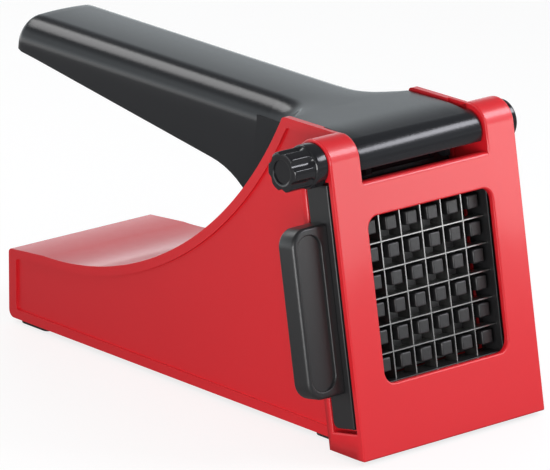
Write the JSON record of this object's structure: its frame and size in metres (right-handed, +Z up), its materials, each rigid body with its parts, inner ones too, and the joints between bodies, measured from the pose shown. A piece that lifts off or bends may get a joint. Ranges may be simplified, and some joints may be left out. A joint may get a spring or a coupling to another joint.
{
  "type": "french fry cutter",
  "caption": "Lever-action potato cutter: a housing with a trough, a leaning front frame with a removable blade grid, and a lever with a studded pusher.",
  "frame": {"origin": "On the table under the middle of the bounding box of the whole machine with its lever closed.", "axes": "+Z up, the blade window faces -Y and leans back, the lever points to +Y, the cartridge grip and the knob are on the -X side."},
  "size_m": [0.1308, 0.274, 0.139],
  "materials": {
    "red": "gloss",
    "charcoal": "satin",
    "satin_black": "satin",
    "gloss_black": "gloss",
    "pusher_grey": "satin",
    "blade_steel": "brushed",
    "axle_steel": "satin",
    "screw_steel": "satin",
    "brass": "satin",
    "rubber": "matte"
  },
  "bodies": {
    "base": {"body_shell": "red", "front_frame": "red", "frame_screws": "screw_steel", "foot_front_left": "rubber", "foot_front_right": "rubber", "foot_rear_left": "rubber", "foot_rear_right": "rubber", "axle_rod": "axle_steel", "axle_head": "gloss_black", "cartridge_frame": "satin_black", "blade_retainer": "satin_black", "retainer_screws": "screw_steel", "blade_v1": "blade_steel", "blade_v2": "blade_steel", "blade_v3": "blade_steel", "blade_v4": "blade_steel", "blade_v5": "blade_steel", "blade_h1": "blade_steel", "blade_h2": "blade_steel", "blade_h3": "blade_steel", "blade_h4": "blade_steel", "blade_h5": "blade_steel"},
    "lever": {"lever": "charcoal", "pusher_plate": "pusher_grey", "pusher_screws": "screw_steel"},
    "knob": {"knob": "gloss_black", "knob_insert": "brass", "knob_cap": "gloss_black"}
  },
  "joints": [
    {"name": "lever_hinge", "type": "hinge", "parent": "base", "child": "lever", "pos_m": [0.00785, -0.10278, 0.12651], "axis": [1, 0, 0], "range_deg": [0, 65]},
    {"name": "knob_spin", "type": "hinge", "parent": "base", "child": "knob", "pos_m": [-0.05215, -0.10278, 0.12651], "axis": [1, 0, 0], "continuous": true}
  ]
}
